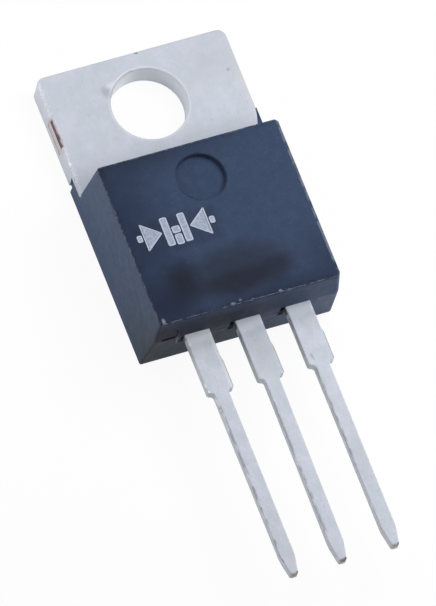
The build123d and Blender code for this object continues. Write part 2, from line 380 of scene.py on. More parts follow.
@dataclass(frozen=True)
class Finish:
    """Base of the finishes: a material with one Principled shader. Millimetres."""

    name: str
    light: Colour
    dark: Colour
    cloud_scale: float
    cloud_contrast: float
    grain_scale: float
    grain_depth: float  # relief at a height of one
    roughness: float
    polish: float = 0.0  # how much less rough it is where the clouds are light
    coarse_share: float = 1.0  # of the coarse grain under the fine one
    grain_stretch: Point = (1.0, 1.0, 1.0)
    stains: tuple[Stain, ...] = ()

    def begin(self) -> tuple[Material, Graph, Socket]:
        """Make an empty material.

        Returns:
            The material, its graph, and the place on the piece in millimetres.
        """
        material = bpy.data.materials.new(self.name)
        graph = empty_graph(material)
        coordinates = graph.add("TexCoord").outputs["Object"]
        return material, graph, graph.scaled(coordinates, 1 / MILLIMETRE)

    def clouds(self, graph: Graph, position: Socket) -> tuple[Socket, Socket]:
        """Return the cloudy colour, and how light it is at each place."""
        made = graph.group("Clouds", {
            "Position": position, "Light": self.light, "Dark": self.dark,
            "Scale": self.cloud_scale, "Contrast": self.cloud_contrast,
        })
        return made["Colour"], made["Value"]

    def stained(self, graph: Graph, position: Socket, colour: Any) -> Any:
        """Return a colour with all the stains laid over it in turn."""
        for layer in self.stains:
            colour = layer.lay(graph, position, colour)
        return colour

    def grain(self, graph: Graph, position: Socket) -> Socket:
        """Return the height of the grain."""
        return graph.group("Grain", {
            "Position": position, "Stretch": self.grain_stretch, "Scale": self.grain_scale,
            "Coarse Share": self.coarse_share,
        })["Height"]

    def polished(self, graph: Graph, lightness: Socket) -> Socket:
        """Return the roughness, a little lower where the clouds are light."""
        return graph.math("ADD", graph.math("MULTIPLY", lightness, -self.polish), self.roughness)

    def end(self, graph: Graph, height: Any, inputs: dict[str, Any]) -> None:
        """Add the shader.

        Args:
            graph: The material's graph.
            height: Height of the surface's relief.
            inputs: The shader's own inputs.
        """
        depth = self.grain_depth * MILLIMETRE
        bump = graph.add("Bump", {"Height": height, "Distance": depth})
        shader = graph.add("BsdfPrincipled", {"Normal": bump.outputs[0], **inputs})
        graph.add("OutputMaterial", {"Surface": shader.outputs[0]})


TAB_SIDES = Patch((0.0, 0.0, 0.62), (20.0, 12.0, 0.59), 0.03, 0.0)
HOLE_WALL = spot((0.0, 0.0, 0.63), (1.99, 1.99, 12.0), 0.03, 0.0)
LEAD_SIDES = Patch((0.0, -19.5, 2.67), (20.0, 7.2, 0.19), 0.03, 0.0)
STREAKS = Breakup(4.5, 0.52, 0.1, (1.0, 0.3, 1.0))
SPECKS = Breakup(9.0, 0.5, 0.1)
PITS = Breakup(7.5, 0.4, 0.12, (1.0, 0.7, 1.3))
# colours of the painted shadow and painted shade at the roots of the leads
ROOT_SHADOW: Colour = (0.02, 0.021, 0.027)
ROOT_SHADE_GREY: Colour = (0.06, 0.066, 0.08)


@dataclass(frozen=True)
class TinPlate(Finish):
    """Dull tin plating on copper, bare where the strip was cut after plating."""

    name: str = "tin_plate"
    light: Colour = (0.572, 0.602, 0.69)
    dark: Colour = (0.532, 0.574, 0.636)
    cloud_scale: float = 1.3
    cloud_contrast: float = 0.55
    grain_scale: float = 12.0
    grain_depth: float = 0.006
    roughness: float = 0.5
    polish: float = 0.08
    coarse_share: float = 1.5
    grain_stretch: Point = (1.0, 0.5, 1.0)
    metallic: float = 0.4
    pit_depth: float = 0.8  # as a share of the grain's depth

    stains: tuple[Stain, ...] = (
        # specks and pits in the plating
        stain((0.66, 0.68, 0.76), 0.3, Breakup(5.5, 0.44, 0.16, (1.0, 0.6, 1.0))),
        stain((0.44, 0.46, 0.52), 0.3, PITS),
        # painted shade on the sheared sides of the tab and on the sides of the leads; painted light
        # on the wall of the punched hole, with a painted highlight on part of it
        stain((0.47, 0.495, 0.545), 0.85, TAB_SIDES),
        stain((0.66, 0.69, 0.745), 1.0, HOLE_WALL),
        stain((0.86, 0.88, 0.93), 0.9, HOLE_WALL, spot((-0.9, 1.7, 0.63), (1.3, 0.8, 2.0), 0.8)),
        stain((0.5, 0.53, 0.575), 0.8, LEAD_SIDES),
        # painted shadow of the neighbouring leads along the left sides of the middle and right
        # leads
        *(
            stain(colour, 0.9, LEAD_SIDES, spot((x, -12.4, 2.67), (0.5, half_y, 1.0), 0.9, 0.0))
            for x, half_y, colour in (
                (-0.63, 3.6, (0.28, 0.335, 0.365)), (1.91, 3.8, (0.29, 0.33, 0.375)),
            )
        ),
        # painted shade on the tab towards the moulding
        stain((0.37, 0.395, 0.45), 0.75, Patch((0.0, -4.4, 1.0), (6.0, 1.1, 0.5), 2.0, 0.5, 1.0)),
        # painted light on the fronts of the roots of the leads, painted shadow and shade on their
        # sides, and painted highlights on their rims
        stain((0.86, 0.92, 1.0), 1.0, Patch((0.0, -12.5, 2.9), (4.0, 0.25, 0.15), 0.6, 0.1, 2.0)),
        *(
            stain(ROOT_SHADOW, strength, Patch(place, half_size, softness, 0.05), LEAD_SIDES)
            for place, half_size, softness, strength in (
                ((-0.66, -12.65, 2.6), (0.06, 0.16, 0.16), 0.14, 0.9),
                ((1.88, -12.65, 2.6), (0.06, 0.16, 0.16), 0.14, 0.9),
                ((-3.2, -12.6, 2.6), (0.06, 0.1, 0.14), 0.12, 0.6),
            )
        ),
        *(
            stain(ROOT_SHADE_GREY, 0.75, LEAD_SIDES, spot((x, -12.5, 2.7), (0.2, 0.55, 0.5), 0.9, 0.0))
            for x in (-0.63, 1.91)
        ),
        *(
            stain((0.96, 0.975, 1.0), 0.6, Patch(place, (0.05, half_length, 0.05), 0.05, 0.05))
            for place, half_length in (
                ((-1.93, -12.75, 2.88), 0.2), ((0.61, -12.75, 2.88), 0.25),
                ((3.15, -12.75, 2.88), 0.25), ((-3.14, -12.85, 2.87), 0.3),
            )
        ),
        *(
            stain((0.9, 0.915, 0.96), 0.5, Patch((x, -12.7, 2.88), (0.05, 0.12, 0.05), 0.05, 0.05))
            for x in (-0.6, 1.94)
        ),
        # edges of the tab
        stain((0.6, 0.6, 0.615), 0.7, Patch((4.8, -0.4, 1.27), (0.16, 2.2, 0.2), 0.1, 0.1)),
        # painted glints along the left front edge of the tab
        stain(
            (0.85, 0.86, 0.9), 0.25,
            Patch((-4.72, 0.0, 1.2), (0.1, 2.8, 0.12), 0.06, 0.15), SPECKS,
        ),
        stain(
            (0.28, 0.29, 0.33), 0.5,
            Patch((-4.79, 0.0, 1.1), (0.1, 2.8, 0.1), 0.08, 0.15),
            Breakup(5.0, 0.46, 0.1, (1.0, 0.6, 1.0)),
        ),
        # painted highlight on the left edge where the notch begins
        stain((0.9, 0.9, 0.93), 0.6, spot((-4.74, -1.9, 1.2), (0.1, 0.14, 0.2), 0.8)),
        # greyer patches of the tab and the leads
        stain((0.48, 0.505, 0.56), 0.6, spot((3.6, 1.2, 1.27), (2.2, 2.0, 0.2), 0.9, 0.5, 0.8)),
        stain((0.44, 0.465, 0.515), 0.6, spot((0.0, -14.3, 2.87), (1.2, 2.3, 0.1), 0.9, 0.4, 0.9)),
        stain((0.48, 0.505, 0.55), 0.5, spot((2.54, -21.0, 2.87), (0.6, 3.2, 0.1), 0.9, 0.4, 0.9)),
        # small marks of the tab, painted shade of a shallow dimple beside the hole with a painted
        # highlight on the rolled rim next to it, and a thin line round its hole
        stain((0.2, 0.21, 0.24), 0.8, spot((0.31, 2.7, 1.27), (0.13, 0.1, 0.2), 0.6, 0.05)),
        stain((0.3, 0.32, 0.37), 0.6, spot((4.21, 0.62, 1.27), (0.12, 0.12, 0.2), 0.7, 0.05, 6.0)),
        stain((0.3, 0.32, 0.37), 0.55, spot((-1.8, 1.15, 1.2), (0.34, 0.5, 0.4), 0.9, 0.15)),
        stain((0.74, 0.76, 0.82), 0.6, spot((-1.42, 1.42, 1.27), (0.4, 0.2, 0.2), 0.9, 0.2)),
        stain(
            (0.48, 0.5, 0.55), 0.3,
            Patch((0.0, 0.0, 1.27), (1.88, 0.03, 0.1), 0.03, 0.02, shape=Shape.RING),
        ),
        # scar and tear of the link to the strip; the dark line along the top of the tear is partly
        # painted shadow under its ledge
        stain(
            (0.4, 0.39, 0.405), 0.5,
            TAB_SIDES, spot((-4.8, -0.3, 0.8), (0.3, 1.5, 0.9), 0.8, 0.15, 2.0),
        ),
        stain((0.48, 0.415, 0.438), 0.95, Patch((-4.82, -0.17, 0.85), (0.1, 0.8, 0.4), 0.08, 0.12)),
        # painted shadow line under the scar's ledge, on the tear
        stain(
            (0.052, 0.024, 0.03), 0.95,
            Patch((-4.8, -0.2, 1.075), (0.14, 0.72, 0.125), 0.07, 0.11, 2.6),
        ),
        stain((0.3, 0.245, 0.265), 0.7, spot((-4.85, -0.02, 1.1), (0.12, 0.1, 0.12), 0.8)),
        # edges of the leads
        # painted highlight along the right edge of the left lead
        stain((0.86, 0.86, 0.93), 0.25, Patch((-1.99, -14.3, 2.88), (0.05, 1.9, 0.06), 0.04, 0.05)),
        # painted shade along the right edges of the leads' wide parts
        *(
            stain(colour, strength, Patch((x, -14.9, 2.87), (0.045, 0.85, 0.035), 0.02, 0.02))
            for x, colour, strength in (
                (-1.85, (0.2, 0.21, 0.23), 0.7), (0.69, (0.13, 0.14, 0.16), 0.8),
                (3.23, (0.1, 0.11, 0.13), 0.85),
            )
        ),
        # painted glints near the left lead's left shoulder
        *(
            stain(WHITE, strength, spot(place, half_size, 0.6, 0.03, 6.0))
            for place, half_size, strength in (
                ((-3.1, -15.66, 2.86), (0.06, 0.07, 0.1), 0.9),
                ((-2.88, -16.69, 2.87), (0.05, 0.08, 0.1), 0.8),
                ((-3.14, -15.3, 2.86), (0.05, 0.16, 0.1), 0.6),
            )
        ),
        *(
            stain(
                (0.28, 0.29, 0.34), strength,
                Patch(place, (0.05, half_length, 0.06), 0.05, 0.05), STREAKS,
            )
            for place, half_length, strength in (
                ((-2.87, -20.7, 2.86), 4.2, 0.7), ((-0.38, -20.2, 2.86), 4.5, 0.55),
                ((2.2, -18.2, 2.84), 3.0, 0.55),
            )
        ),
        stain((0.86, 0.87, 0.93), 0.45, LEAD_SIDES, Breakup(4.0, 0.42, 0.12, (1.0, 0.35, 1.0))),
        # bare copper on the cut tips, dark on their right sides
        *(
            stain(colour, strength, Patch(place, half_size, softness, raggedness, 5.0))
            for place, half_size, softness, raggedness, colour, strength in (
                ((0.0, -25.9, 2.67), (4.0, 0.33, 0.5), 0.08, 0.08, (0.47, 0.45, 0.45), 0.9),
                ((-2.53, -25.7, 2.72), (0.11, 0.14, 0.1), 0.06, 0.08, (0.33, 0.215, 0.225), 0.9),
                ((-0.06, -25.7, 2.77), (0.13, 0.14, 0.08), 0.06, 0.08, (0.2, 0.11, 0.125), 0.9),
                ((2.56, -25.7, 2.77), (0.12, 0.14, 0.07), 0.05, 0.08, (0.23, 0.235, 0.24), 0.8),
                ((-2.37, -25.66, 2.8), (0.05, 0.12, 0.08), 0.04, 0.03, (0.03, 0.028, 0.036), 0.9),
                ((0.07, -25.66, 2.8), (0.05, 0.12, 0.08), 0.04, 0.03, (0.05, 0.03, 0.036), 0.9),
                ((2.71, -25.66, 2.8), (0.05, 0.12, 0.07), 0.04, 0.03, (0.03, 0.03, 0.034), 0.85),
            )
        ),
    )

    def material(self) -> Material:
        """Return the material."""
        material, graph, position = self.begin()
        colour, lightness = self.clouds(graph, position)
        pits = graph.math("MULTIPLY", PITS.mask(graph, position), self.pit_depth)
        height = graph.math("SUBTRACT", self.grain(graph, position), pits)
        self.end(graph, height, {
            "Base Color": self.stained(graph, position, colour), "Metallic": self.metallic,
            "Roughness": self.polished(graph, lightness),
        })
        return material


# colours of light and dark chips, also used for a painted highlight and a painted shadow
LIGHT_CHIP_AND_HIGHLIGHT: Colour = (0.15, 0.168, 0.215)
DARK_CHIP_AND_SHADOW: Colour = (0.006, 0.008, 0.014)
CHIPS = Breakup(6.5, 0.5, 0.12)


@dataclass(frozen=True)
class Epoxy(Finish):
    """Dark blue-grey moulding compound with a matt mould finish, smudged dark in places, with
    painted shade and painted light on its faces and edges.
    """

    name: str = Slot.EPOXY.value
    light: Colour = (0.0345, 0.055, 0.1075)
    dark: Colour = (0.0305, 0.0495, 0.0975)
    cloud_scale: float = 2.2
    cloud_contrast: float = 0.6
    grain_scale: float = 11.0
    grain_depth: float = 0.012
    roughness: float = 0.56
    polish: float = 0.05
    specular: float = 0.2

    stains: tuple[Stain, ...] = (
        # grains of filler
        stain(LIGHT_CHIP_AND_HIGHLIGHT, 0.12, Breakup(9.0, 0.4, 0.12)),
        # painted shade along the left, top and bottom of the front, and a smudge across its lower
        # middle
        *(
            stain(colour, strength, spot((x, y, FRONT_Z), (half_x, half_y, 0.3), *edge))
            for x, y, half_x, half_y, edge, colour, strength in (
                # painted shade
                (-4.9, -8.0, 3.8, 12.0, (1.0, 0.4, 0.8), (0.013, 0.022, 0.05), 1.0),
                (4.6, -11.6, 2.6, 3.4, (1.0, 0.4, 0.9), (0.013, 0.021, 0.046), 0.6),
                (-3.0, -3.5, 9.4, 2.1, (1.0, 0.3, 0.8), (0.014, 0.0225, 0.044), 0.85),
                (1.2, -12.75, 6.2, 1.75, (0.9, 0.3, 1.0), (0.0125, 0.0205, 0.045), 1.0),
                (-3.8, -11.6, 2.4, 1.9, (0.9, 0.3, 1.0), (0.01, 0.0145, 0.036), 0.9),
                # the smudge, less dark in its middle
                (-0.1, -10.5, 3.7, 1.6, (0.7, 0.5, 0.9), (0.019, 0.027, 0.047), 0.95),
                (0.0, -11.3, 3.6, 0.95, (0.75, 0.4, 1.1), (0.01, 0.0135, 0.025), 0.95),
                (1.7, -10.9, 1.5, 0.75, (0.9, 0.3, 1.1), (0.011, 0.015, 0.028), 0.8),
                (-2.75, -10.6, 1.35, 1.7, (0.85, 0.4, 1.1), (0.0068, 0.01, 0.02), 0.95),
            )
        ),
        stain(
            (0.015, 0.022, 0.042), 0.35,
            Patch((-2.1, -8.1, FRONT_Z), (1.9, 0.7, 0.05), 0.4, 0.2, 2.0),
        ),
        # painted shadow in a thin line round the upper right of the ejector mark
        stain(
            (0.007, 0.011, 0.022), 0.8,
            Patch((0.0, -5.7, FRONT_Z), (1.19, 0.03, 0.05), 0.06, 0.05, shape=Shape.RING),
            Patch((0.4, -5.3, FRONT_Z), (1.1, 1.1, 0.5), 0.7, 0.1),
        ),
        # painted shade on the lead end, darker towards the left
        *(
            stain(colour, 1.0, spot(place, half_size, *edge))
            for place, half_size, edge, colour in (
                ((-3.0, -12.5, 3.4), (7.6, 0.35, 1.6), (0.8, 0.5, 1.2), (0.0092, 0.0116, 0.0275)),
                ((-3.6, -12.4, 1.2), (7.2, 0.6, 2.1), (0.7, 0.5, 1.0), (0.0088, 0.0165, 0.0285)),
            )
        ),
        stain((0.017, 0.011, 0.012), 0.8, spot((-4.1, -12.5, 2.9), (0.6, 0.3, 0.42), 0.9, 0.2)),
        # painted shade in the slot left of the left lead
        stain((0.005, 0.007, 0.013), 0.95, Patch((-3.86, -12.55, 2.85), (0.14, 0.3, 0.12), 0.3)),
        # painted shade beside two of the leads, and painted light on the edges of the slot and the
        # joggle
        *(
            stain((0.007, 0.011, 0.02), 0.7, spot((x, -12.5, 2.5), (0.34, 0.3, 0.5), 0.9, 0.1))
            for x in (-0.85, 1.69)
        ),
        *(
            stain(colour, strength, Patch(place, half_size, 0.05, raggedness))
            for place, half_size, raggedness, colour, strength in (
                ((-3.58, -12.62, 3.2), (0.06, 0.1, 0.22), 0.03, (0.035, 0.042, 0.06), 0.8),
                ((-1.25, -12.55, 2.57), (0.5, 0.3, 0.01), 0.05, (0.065, 0.075, 0.1), 0.6),
                ((-3.55, -12.62, 2.68), (0.05, 0.1, 0.3), 0.03, (0.17, 0.19, 0.24), 0.9),
            )
        ),
        # left side, greyer towards the lead end
        stain((0.02, 0.031, 0.04), 0.8, spot((-4.85, -12.9, 2.0), (0.5, 4.6, 5.5), 0.9, 0.5, 0.8)),
        # chipped front edges
        stain(DARK_CHIP_AND_SHADOW, 0.3, Patch((0.0, -4.0, FRONT_Z), (4.5, 0.05, 0.05), 0.06, 0.08), CHIPS),
        stain(LIGHT_CHIP_AND_HIGHLIGHT, 0.6, Patch((0.0, -3.88, 4.47), (4.5, 0.035, 0.08), 0.05, 0.08), CHIPS),
        stain(DARK_CHIP_AND_SHADOW, 0.45, Patch((-4.44, -8.2, FRONT_Z), (0.03, 4.2, 0.05), 0.05, 0.08), CHIPS),
        # painted shadow on the chipped upper left corner of the front
        stain(DARK_CHIP_AND_SHADOW, 0.55, spot((-4.45, -4.1, FRONT_Z), (0.3, 0.6, 0.3), 0.95, 0.15)),
        stain(LIGHT_CHIP_AND_HIGHLIGHT, 0.4, Patch((-4.56, -8.2, 4.45), (0.025, 4.3, 0.08), 0.04, 0.05), CHIPS),
        # painted highlight along the right front edge, broken into dashes
        stain(
            LIGHT_CHIP_AND_HIGHLIGHT, 0.85,
            Patch((4.51, -8.1, 4.46), (0.06, 4.3, 0.08), 0.06, 0.06), Breakup(2.5, 0.66, 0.25),
        ),
        stain(DARK_CHIP_AND_SHADOW, 0.5, Patch((0.0, -12.3, FRONT_Z), (4.4, 0.03, 0.05), 0.06, 0.08), CHIPS),
        stain(
            LIGHT_CHIP_AND_HIGHLIGHT, 0.75,
            Patch((0.0, -12.4, 4.47), (4.45, 0.03, 0.06), 0.04, 0.06), Breakup(3.4, 0.4, 0.08),
        ),
        *(
            stain(colour, strength, spot((x, y, FRONT_Z), (half_x, half_y, 0.2), 0.6, 0.08, 6.0))
            for x, y, half_x, half_y, colour, strength in (
                (-4.34, -12.28, 0.11, 0.2, (0.21, 0.235, 0.29), 0.85),
                (-0.88, -12.36, 0.15, 0.1, (0.19, 0.215, 0.27), 0.8),
                (-0.48, -12.28, 0.1, 0.08, (0.17, 0.195, 0.25), 0.75),
                (1.5, -12.36, 0.14, 0.1, (0.19, 0.215, 0.27), 0.8),
            )
        ),
    )

    # painted shade in the gaps beside the leads and the slot, too deep for light to reach, and in
    # the shadow line under the step between the leads
    gap_colour: Colour = (0.0025, 0.0032, 0.0055)
    gap_roughness: float = 1.0
    gaps: tuple[Patch, ...] = (
        Patch((-0.7, -12.55, 2.36), (0.08, 0.3, 0.5), 0.13, 0.05),
        Patch((1.84, -12.55, 2.36), (0.08, 0.3, 0.5), 0.13, 0.05),
        Patch((-3.22, -12.55, 2.4), (0.05, 0.3, 0.34), 0.1, 0.05),
        Patch((-1.3, -12.55, 2.42), (0.2, 0.3, 0.03), 0.09, 0.08),
        Patch((1.48, -12.55, 2.42), (0.12, 0.3, 0.02), 0.09, 0.08),
    )

    def material(self) -> Material:
        """Return the material."""
        material, graph, position = self.begin()
        colour, lightness = self.clouds(graph, position)
        gap: Any = 0.0
        for patch in self.gaps:
            gap = graph.math("MAXIMUM", gap, patch.mask(graph, position))
        colour = graph.blend(gap, self.stained(graph, position, colour), self.gap_colour)
        rougher = graph.math("MULTIPLY", gap, self.gap_roughness - self.roughness)
        self.end(graph, self.grain(graph, position), {
            "Base Color": colour, "Specular IOR Level": self.specular,
            "Roughness": graph.math("ADD", self.polished(graph, lightness), rougher),
        })
        return material


@dataclass(frozen=True)
class ThinFlash(Finish):
    """Moulding compound so thin that its edge looks pale."""

    name: str = "thin_flash"
    light: Colour = (0.19, 0.22, 0.3)
    dark: Colour = (0.026, 0.038, 0.07)
    cloud_scale: float = 4.0
    cloud_contrast: float = 0.75
    grain_scale: float = 14.0
    grain_depth: float = 0.006
    roughness: float = 0.5
    specular: float = 0.3

    def material(self) -> Material:
        """Return the material."""
        material, graph, position = self.begin()
        self.end(graph, self.grain(graph, position), {
            "Base Color": self.clouds(graph, position)[0], "Roughness": self.roughness,
            "Specular IOR Level": self.specular,
        })
        return material


@dataclass(frozen=True)
class MarkingInk(Finish):
    """Pale ink, laid on thickly and worn thin in places."""

    name: str = "marking_ink"
    light: Colour = (0.4, 0.45, 0.56)
    dark: Colour = (0.27, 0.32, 0.41)
    cloud_scale: float = 8.0
    cloud_contrast: float = 0.65
    grain_scale: float = 14.0
    grain_depth: float = 0.01
    roughness: float = 0.62
    specular: float = 0.3
    rim_colour: Colour = (0.52, 0.58, 0.7)
    rim_strength: float = 0.7
    rim_z: float = 4.5125  # where the raised rim begins to look paler
    rim_fade: float = 0.004

    def material(self) -> Material:
        """Return the material."""
        material, graph, position = self.begin()
        z = graph.add("SeparateXYZ", {0: position}).outputs["Z"]
        rim = graph.fade(z, self.rim_z, self.rim_z + self.rim_fade, 0.0, self.rim_strength)
        colour = graph.blend(rim, self.clouds(graph, position)[0], self.rim_colour)
        self.end(graph, self.grain(graph, position), {
            "Base Color": colour, "Roughness": self.roughness,
            "Specular IOR Level": self.specular,
        })
        return material


@dataclass(frozen=True)
class InnerMetal(Finish):
    """A metal of the sealed pieces, with a cloudy surface and a fine grain."""

    name: str = Slot.SOLDER.value
    light: Colour = (0.5, 0.5, 0.51)
    dark: Colour = (0.34, 0.34, 0.36)
    cloud_scale: float = 1.5
    cloud_contrast: float = 0.5
    grain_scale: float = 10.0
    grain_depth: float = 0.01
    roughness: float = 0.45
    polish: float = 0.1
    coarse_share: float = 0.8
    metallic: float = 1.0

    def material(self) -> Material:
        """Return the material."""
        material, graph, position = self.begin()
        colour, lightness = self.clouds(graph, position)
        self.end(graph, self.grain(graph, position), {
            "Base Color": colour, "Metallic": self.metallic,
            "Roughness": self.polished(graph, lightness),
        })
        return material


SOLDER = InnerMetal()
SILICON = InnerMetal(
    name=Slot.SILICON.value, light=(0.62, 0.62, 0.64), dark=(0.5, 0.5, 0.53), roughness=0.34,
    cloud_scale=0.8, grain_scale=16.0, grain_depth=0.003,
)
CLIP_COPPER = InnerMetal(
    name=Slot.CLIP.value, light=(0.72, 0.43, 0.3), dark=(0.58, 0.31, 0.2), roughness=0.4,
    grain_stretch=(3.0, 0.3, 3.0), grain_depth=0.004,
)


# ---------------------------------------------------------------- modelling helpers


def deselect_all() -> None:
    """Leave edit mode and select nothing."""
    if bpy.context.object and bpy.context.object.mode != "OBJECT":
        bpy.ops.object.mode_set(mode="OBJECT")
    bpy.ops.object.select_all(action="DESELECT")


def activate(piece: bpy.types.Object) -> None:
    """Select one piece alone and make it the active one."""
    deselect_all()
    piece.select_set(True)
    bpy.context.view_layer.objects.active = piece


def select_in_edit(kind: str, wanted: Callable[[Any], bool]) -> None:
    """Select parts of the mesh that is being edited.

    Args:
        kind: EDGE or FACE.
        wanted: Says whether a part is selected.
    """
    bpy.ops.mesh.select_mode(type=kind)
    bpy.ops.mesh.select_all(action="DESELECT")
    mesh = bmesh.from_edit_mesh(bpy.context.object.data)
    mesh.normal_update()
    for part in mesh.edges if kind == "EDGE" else mesh.faces:
        if wanted(part):
            part.select_set(True)
    bmesh.update_edit_mesh(bpy.context.object.data)


def settle(piece: bpy.types.Object, name: str, material: Material) -> None:
    """Finish a piece that was modelled in millimetres.

    Args:
        piece: The piece.
        name: Its name.
        material: Its material.
    """
    activate(piece)
    bpy.ops.object.transform_apply(location=True, rotation=True, scale=True)
    piece.data.transform(Matrix.Scale(MILLIMETRE, 4))
    bpy.ops.object.mode_set(mode="EDIT")
    bpy.ops.mesh.select_all(action="SELECT")
    bpy.ops.mesh.normals_make_consistent(inside=False)
    bpy.ops.object.mode_set(mode="OBJECT")
    piece.name = name
    piece.data.name = name
    piece.data.materials.clear()
    piece.data.materials.append(material)
    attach(piece, BODY)
    log.info("%s: %d faces", name, len(piece.data.polygons))


def dress(node: str, material: Material) -> None:
    """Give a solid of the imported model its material."""
    solid = bpy.data.objects[node]
    if not solid.material_slots:
        solid.data.materials.append(material)
    for slot in solid.material_slots:
        slot.material = material
    log.info("%s: %s", node, material.name)


# ---------------------------------------------------------------- the rectifier


@dataclass
class Leadframe:
    """The heat tab with its centre lead, and the two outer leads."""

    finish: TinPlate = TinPlate()
    nodes: tuple[str, ...] = ("heat_tab", "left_lead", "right_lead")

    def build(self) -> None:
        """Dress the plated solids."""
        material = self.finish.material()
        for node in self.nodes:
            dress(node, material)


@dataclass
class InnerAssembly:
    """The chips, their solder and the clips, sealed in the moulding."""

    sides: tuple[str, ...] = ("left", "right")

    def build(self) -> None:
        """Dress the sealed solids."""
        finishes = {
            "die": SILICON, "clip": CLIP_COPPER, "die_solder": SOLDER,
            "clip_die_solder": SOLDER, "clip_lead_solder": SOLDER,
        }
        materials = {finish.name: finish.material() for finish in finishes.values()}
        for side in self.sides:
            for piece, finish in finishes.items():
                dress(f"{side}_{piece}", materials[finish.name])


@dataclass
class Moulding:
    """The moulded body, with the flash left on its front edge. Millimetres."""

    finish: Epoxy = Epoxy()
    flash_finish: ThinFlash = ThinFlash()
    flash_y: float = -12.42
    half_length: float = 4.45
    steps: int = 178
    root: float = 0.04
    thickness: float = 0.022
    lean: tuple[float, float] = (-0.45, 0.9)  # the way that the flash stands, along Y and Z
    # middle, half length and height of each longer piece of flash
    chips: tuple[tuple[float, float, float], ...] = (
        (-4.3, 0.10, 0.09), (-3.85, 0.05, 0.07), (-3.3, 0.35, 0.03), (-2.2, 0.5, 0.035),
        (-0.9, 0.12, 0.06), (-0.6, 0.08, 0.05), (0.1, 0.3, 0.02), (1.5, 0.09, 0.08),
        (2.45, 0.3, 0.045), (3.2, 0.25, 0.035), (3.9, 0.3, 0.045),
    )
    # waves per millimetre, place in the noise and share of each noise
    ragged_noises: tuple[tuple[float, float, float], ...] = ((9.0, 3.7, 1.0), (23.0, 1.2, 0.6))
    ragged_share: float = 0.6
    ragged_height: float = 0.012

    def build(self) -> None:
        """Dress the moulded body and add the flash."""
        dress("moulded_body", self.finish.material())
        self.flash(self.flash_finish.material())

    def rise(self, x: float) -> float:
        """Return how far the flash stands out of the edge at a place along it."""
        smooth = sum(
            height * max(0.0, 1 - ((x - middle) / half_length) ** 2)
            for middle, half_length, height in self.chips
        )
        ragged = sum(
            share * noise.noise(Vector((x * waves, row, 0.0)))
            for waves, row, share in self.ragged_noises
        )
        return max(0.0, smooth * (1 + self.ragged_share * ragged) + self.ragged_height * ragged)

    def flash(self, material: Material) -> None:
        """Model the thin ragged flash where the lead end meets the front face."""
        deselect_all()
        bpy.ops.mesh.primitive_grid_add(
            x_subdivisions=self.steps, y_subdivisions=2, size=2.0, location=(0.0, 0.0, 0.0)
        )
        piece = bpy.context.object
        for vertex in piece.data.vertices:
            x, across = vertex.co.x * self.half_length, (vertex.co.y + 1) / 2
            out = across * (self.root + self.rise(x)) - self.root
            vertex.co = (x, self.flash_y + out * self.lean[0], FRONT_Z + out * self.lean[1])
        solidify = piece.modifiers.new("thickness", "SOLIDIFY")
        solidify.thickness = self.thickness
        solidify.offset = 0.0
        activate(piece)
        bpy.ops.object.modifier_apply(modifier=solidify.name)
        settle(piece, "front_edge_flash", material)


